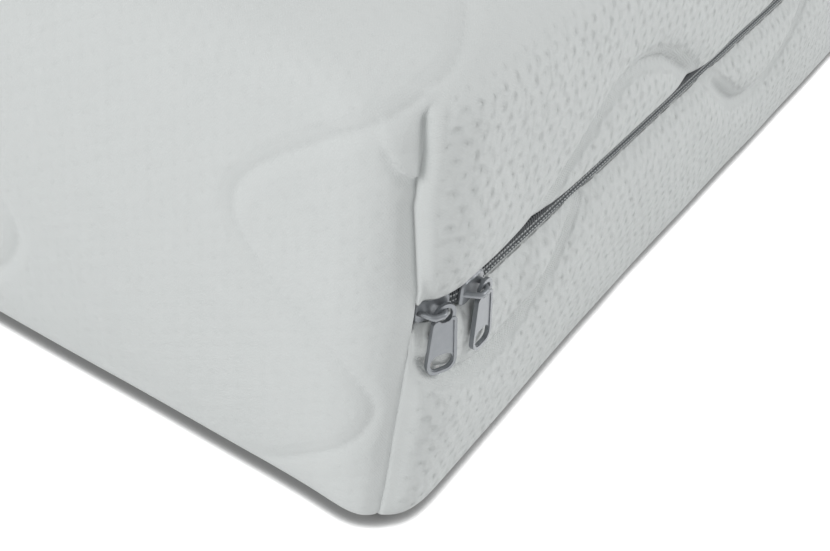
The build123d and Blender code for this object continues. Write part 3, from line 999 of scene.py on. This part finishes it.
DIMPLE_ROWS = 4.8       # all in mm
DIMPLE_COLUMNS = 5.6
PIT_DEPTH = 0.22        # a dimple is a small pit in a wider hollow
HOLLOW_DEPTH = 0.45
LUMP_HEIGHT = 1.6
FUZZ_HEIGHT = 0.07
RIB_PITCH = 0.85
COURSE_PITCH = 1.1


def knit_material():
    """Off-white double-jersey knit: fine ribs, and staggered rows of small dimples, with painted shade in
    the dimples.
    """
    n = Nodes("quilted_knit")
    uv = n.add("ShaderNodeUVMap", uv_map="fabric").outputs["UV"]
    place = n.place()
    plain = n.trait("plain")
    side = n.trait("side")
    parts = n.add("ShaderNodeSeparateXYZ", {"Vector": uv})
    u = n.plus(parts.outputs["X"], n.times(n.minus(n.noise(uv, 140.0), 0.5), 0.0030))
    v = n.plus(parts.outputs["Y"], n.times(n.minus(n.noise(place, 170.0), 0.5), 0.0026))
    row = n.math("DIVIDE", u, DIMPLE_ROWS * MM)
    odd = n.times(n.math("MODULO", n.math("ABSOLUTE", n.math("FLOOR", row)), 2.0), 0.5)
    column = n.plus(n.math("DIVIDE", v, DIMPLE_COLUMNS * MM), odd)
    du = n.times(n.minus(n.math("FRACT", row), 0.5), DIMPLE_ROWS)
    dv = n.times(n.minus(n.math("FRACT", column), 0.5), DIMPLE_COLUMNS)
    uneven = n.plus(0.35, n.times(n.ramp(n.noise(place, 240.0), 0.35, 0.65), 0.65))
    # dimpled also sets how dark the painted shade in the pits and hollows is; the side bands get more of
    # it.
    dimpled = n.times(n.minus(1.0, plain), n.plus(0.22, n.times(side, 0.78)))
    pit = n.spot(n.times(du, 0.95), n.times(dv, 1.6), 0.95)
    pit = n.times(n.times(pit, uneven), dimpled)
    hollow = n.times(n.spot(n.times(du, 0.9), n.times(dv, 0.8), 1.9), dimpled)
    lumps = n.times(n.noise(place, 210.0, 1.0), dimpled)
    stitches = n.times(n.wave(u, RIB_PITCH), n.wave(v, COURSE_PITCH))
    fuzz = n.noise(place, 2600.0, 3.0, 0.6)
    ribbed = n.plus(0.02, n.times(n.times(plain, side), 0.05))
    height = n.plus(n.times(pit, -PIT_DEPTH), n.times(hollow, -HOLLOW_DEPTH))
    height = n.plus(height, n.times(lumps, LUMP_HEIGHT))
    height = n.plus(height, n.times(stitches, ribbed))
    height = n.plus(height, n.times(fuzz, FUZZ_HEIGHT))
    shade = n.mix(n.noise(place, 9.0), (0.665, 0.692, 0.688, 1), (0.70, 0.725, 0.722, 1))
    shade = n.mix(n.times(n.ramp(stitches, -0.9, 0.4), 0.25), (0.615, 0.64, 0.635, 1), shade)
    shade = n.mix(n.times(n.noise(place, 60.0, 4.0, 0.65), 0.35), shade, (0.735, 0.757, 0.752, 1))
    # Painted shade: the hollows and pits are coloured darker, standing in for the shade that falls in
    # them.
    colour = n.mix(n.times(hollow, 0.14), shade, (0.50, 0.53, 0.52, 1))
    colour = n.mix(n.times(pit, 0.26), colour, (0.44, 0.47, 0.455, 1))
    return n.finish(Base_Color=colour, Roughness=0.9, Sheen_Weight=0.15, Sheen_Roughness=0.5,
                    Normal=n.bump(height, 1.0))


def soft_material(name, low, high, scale, relief):
    """Foam or fibre: two shades and a fine open grain; relief is its depth in mm."""
    n = Nodes(name)
    grain = n.noise(n.place(), scale, 4.0, 0.6)
    colour = n.mix(n.ramp(grain, 0.35, 0.65), (*low, 1), (*high, 1))
    return n.finish(Base_Color=colour, Roughness=0.95, Normal=n.bump(grain, relief))


def tape_material():
    """Dark woven tape."""
    n = Nodes("zip_tape")
    parts = n.add("ShaderNodeSeparateXYZ", {"Vector": n.place()})
    rows = n.wave(n.plus(parts.outputs["X"], parts.outputs["Y"]), 0.8)
    weave = n.times(rows, n.wave(parts.outputs["Z"], 0.9))
    colour = n.mix(n.ramp(weave, -0.6, 0.8), (0.05, 0.055, 0.062, 1), (0.10, 0.11, 0.12, 1))
    return n.finish(Base_Color=colour, Roughness=0.85, Normal=n.bump(weave, 0.2))


def coil_material():
    """Dark, slightly shiny nylon."""
    n = Nodes("zip_coil")
    grain = n.noise(n.place(), 900.0)
    colour = n.mix(grain, (0.055, 0.062, 0.068, 1), (0.11, 0.12, 0.128, 1))
    return n.finish(Base_Color=colour, Roughness=0.42, Normal=n.bump(grain, 0.06))


def thread_material():
    """Light grey sewing thread."""
    n = Nodes("zip_thread")
    twist = n.noise(n.place(), 3200.0)
    colour = n.mix(twist, (0.40, 0.42, 0.43, 1), (0.58, 0.60, 0.60, 1))
    return n.finish(Base_Color=colour, Roughness=0.8, Normal=n.bump(twist, 0.05))


def metal_material():
    """Satin grey lacquer on die-cast metal."""
    n = Nodes("zip_metal")
    place = n.place()
    flow = n.noise(place, 420.0, 3.0)
    colour = n.mix(flow, (0.205, 0.220, 0.236, 1), (0.255, 0.270, 0.287, 1))
    rough = n.plus(0.30, n.times(n.noise(place, 1500.0), 0.12))
    return n.finish(Base_Color=colour, Metallic=0.45, Roughness=rough, Coat_Weight=0.25,
                    Coat_Roughness=0.2, Normal=n.bump(flow, 0.08))


def plain_light_floor():
    """White studio floor: a camera sees it as a clean white sweep that keeps the object's shadow, and a
    painted contact shadow darkens it next to the object.
    """
    n = Nodes("floor_sweep")
    path = n.add("ShaderNodeLightPath")
    seen = n.math("MAXIMUM", path.outputs["Is Camera Ray"],
                  n.math("MAXIMUM", path.outputs["Is Glossy Ray"], path.outputs["Is Transmission Ray"]))
    # Painted contact shadow: ambient occlusion near the object darkens the floor's colour and dims its
    # glow.
    contact = n.add("ShaderNodeAmbientOcclusion", {"Distance": 0.007}, samples=16).outputs["AO"]
    glow = n.times(n.times(seen, n.ramp(contact, 0.50, 0.80)), 0.95)
    colour = n.mix(n.ramp(contact, 0.40, 0.65), (0.40, 0.40, 0.40, 1), (0.82, 0.82, 0.82, 1))
    return n.finish(Base_Color=colour, Roughness=0.95, Specular_IOR_Level=0.0,
                    Emission_Color=(1, 1, 1, 1), Emission_Strength=glow)


# ---- the scene ----
CORNER = Vector((HALF_W, -HALF_L, 0))
CAMERA_FROM_CORNER = Vector((136.5, -251.0, 330.5))
AIM_FROM_CORNER = Vector((-36.2, 58.2, 55.4))
CAMERA_ROLL = 6.6
CAMERA_LENS = 62.2
WORLD_LIGHT = 0.615     # strength of the light all round; the camera itself sees full white
LIGHTS = (              # name, place, target and size in metres, and power
    ("key", (-1.2, -4.2, 1.9), (0.3, -0.8, 0.1), 2.4, 60),
    ("side", (2.9, 1.5, 2.4), (0.4, -0.8, 0.1), 1.8, 47),
)
FLOOR_REACH = 30.0      # in metres
FLOOR_DROP = 0.0005     # keeps the floor just below the underside


def add_camera():
    camera = new_object("camera", bpy.data.cameras.new("camera"))
    camera.data.lens = CAMERA_LENS
    camera.data.clip_start = 0.01
    camera.data.clip_end = 50
    look = (AIM_FROM_CORNER - CAMERA_FROM_CORNER).normalized()
    turn = look.to_track_quat("-Z", "Y").to_matrix() @ Matrix.Rotation(math.radians(CAMERA_ROLL), 3, "Z")
    camera.matrix_world = Matrix.Translation((CORNER + CAMERA_FROM_CORNER) * MM) @ turn.to_4x4()
    bpy.context.scene.camera = camera


def add_area_light(name, place, target, size, power):
    light = bpy.data.lights.new(name, "AREA")
    light.shape = "DISK"
    light.size = size
    light.energy = power
    obj = new_object(name, light)
    obj.location = place
    obj.rotation_euler = (Vector(target) - Vector(place)).to_track_quat("-Z", "Y").to_euler()


def add_studio():
    world = bpy.data.worlds.new("studio")
    world.use_nodes = True
    background = world.node_tree.nodes["Background"]
    background.inputs["Color"].default_value = (1, 1, 1, 1)
    path = world.node_tree.nodes.new("ShaderNodeLightPath")
    strength = world.node_tree.nodes.new("ShaderNodeMapRange")
    strength.inputs["To Min"].default_value = WORLD_LIGHT
    world.node_tree.links.new(path.outputs["Is Camera Ray"], strength.inputs["Value"])
    world.node_tree.links.new(strength.outputs["Result"], background.inputs["Strength"])
    bpy.context.scene.world = world
    for light in LIGHTS:
        add_area_light(*light)
    floor_mesh = bpy.data.meshes.new("floor")
    corners = [(x * FLOOR_REACH, y * FLOOR_REACH, 0) for x, y in ((-1, -1), (1, -1), (1, 1), (-1, 1))]
    floor_mesh.from_pydata(corners, [], [(0, 1, 2, 3)])
    floor_mesh.materials.append(plain_light_floor())
    floor = new_object("floor", floor_mesh)
    floor.location.z = -FLOOR_DROP


knit = knit_material()
metal = metal_material()
upper_cover(knit)
lower_cover(knit)
inner_pieces()
zip_coil("zip_coil_upper", 1, coil_material())
zip_coil("zip_coil_lower", -1, bpy.data.materials["zip_coil"])      # the frame's own plain material
thread = thread_material()
zip_stitches("zip_stitches_upper", 1, thread)
zip_stitches("zip_stitches_lower", -1, thread)
zip_tape("zip_tape_upper", 1, tape_material())
zip_tape("zip_tape_lower", -1, bpy.data.materials["zip_tape"])      # likewise
for name in ("slider_a", "slider_b", "pull_a", "pull_b"):
    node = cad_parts[name]
    node.data.materials.clear()
    node.data.materials.append(metal)
add_studio()
add_camera()
bpy.context.scene.view_settings.view_transform = "Standard"
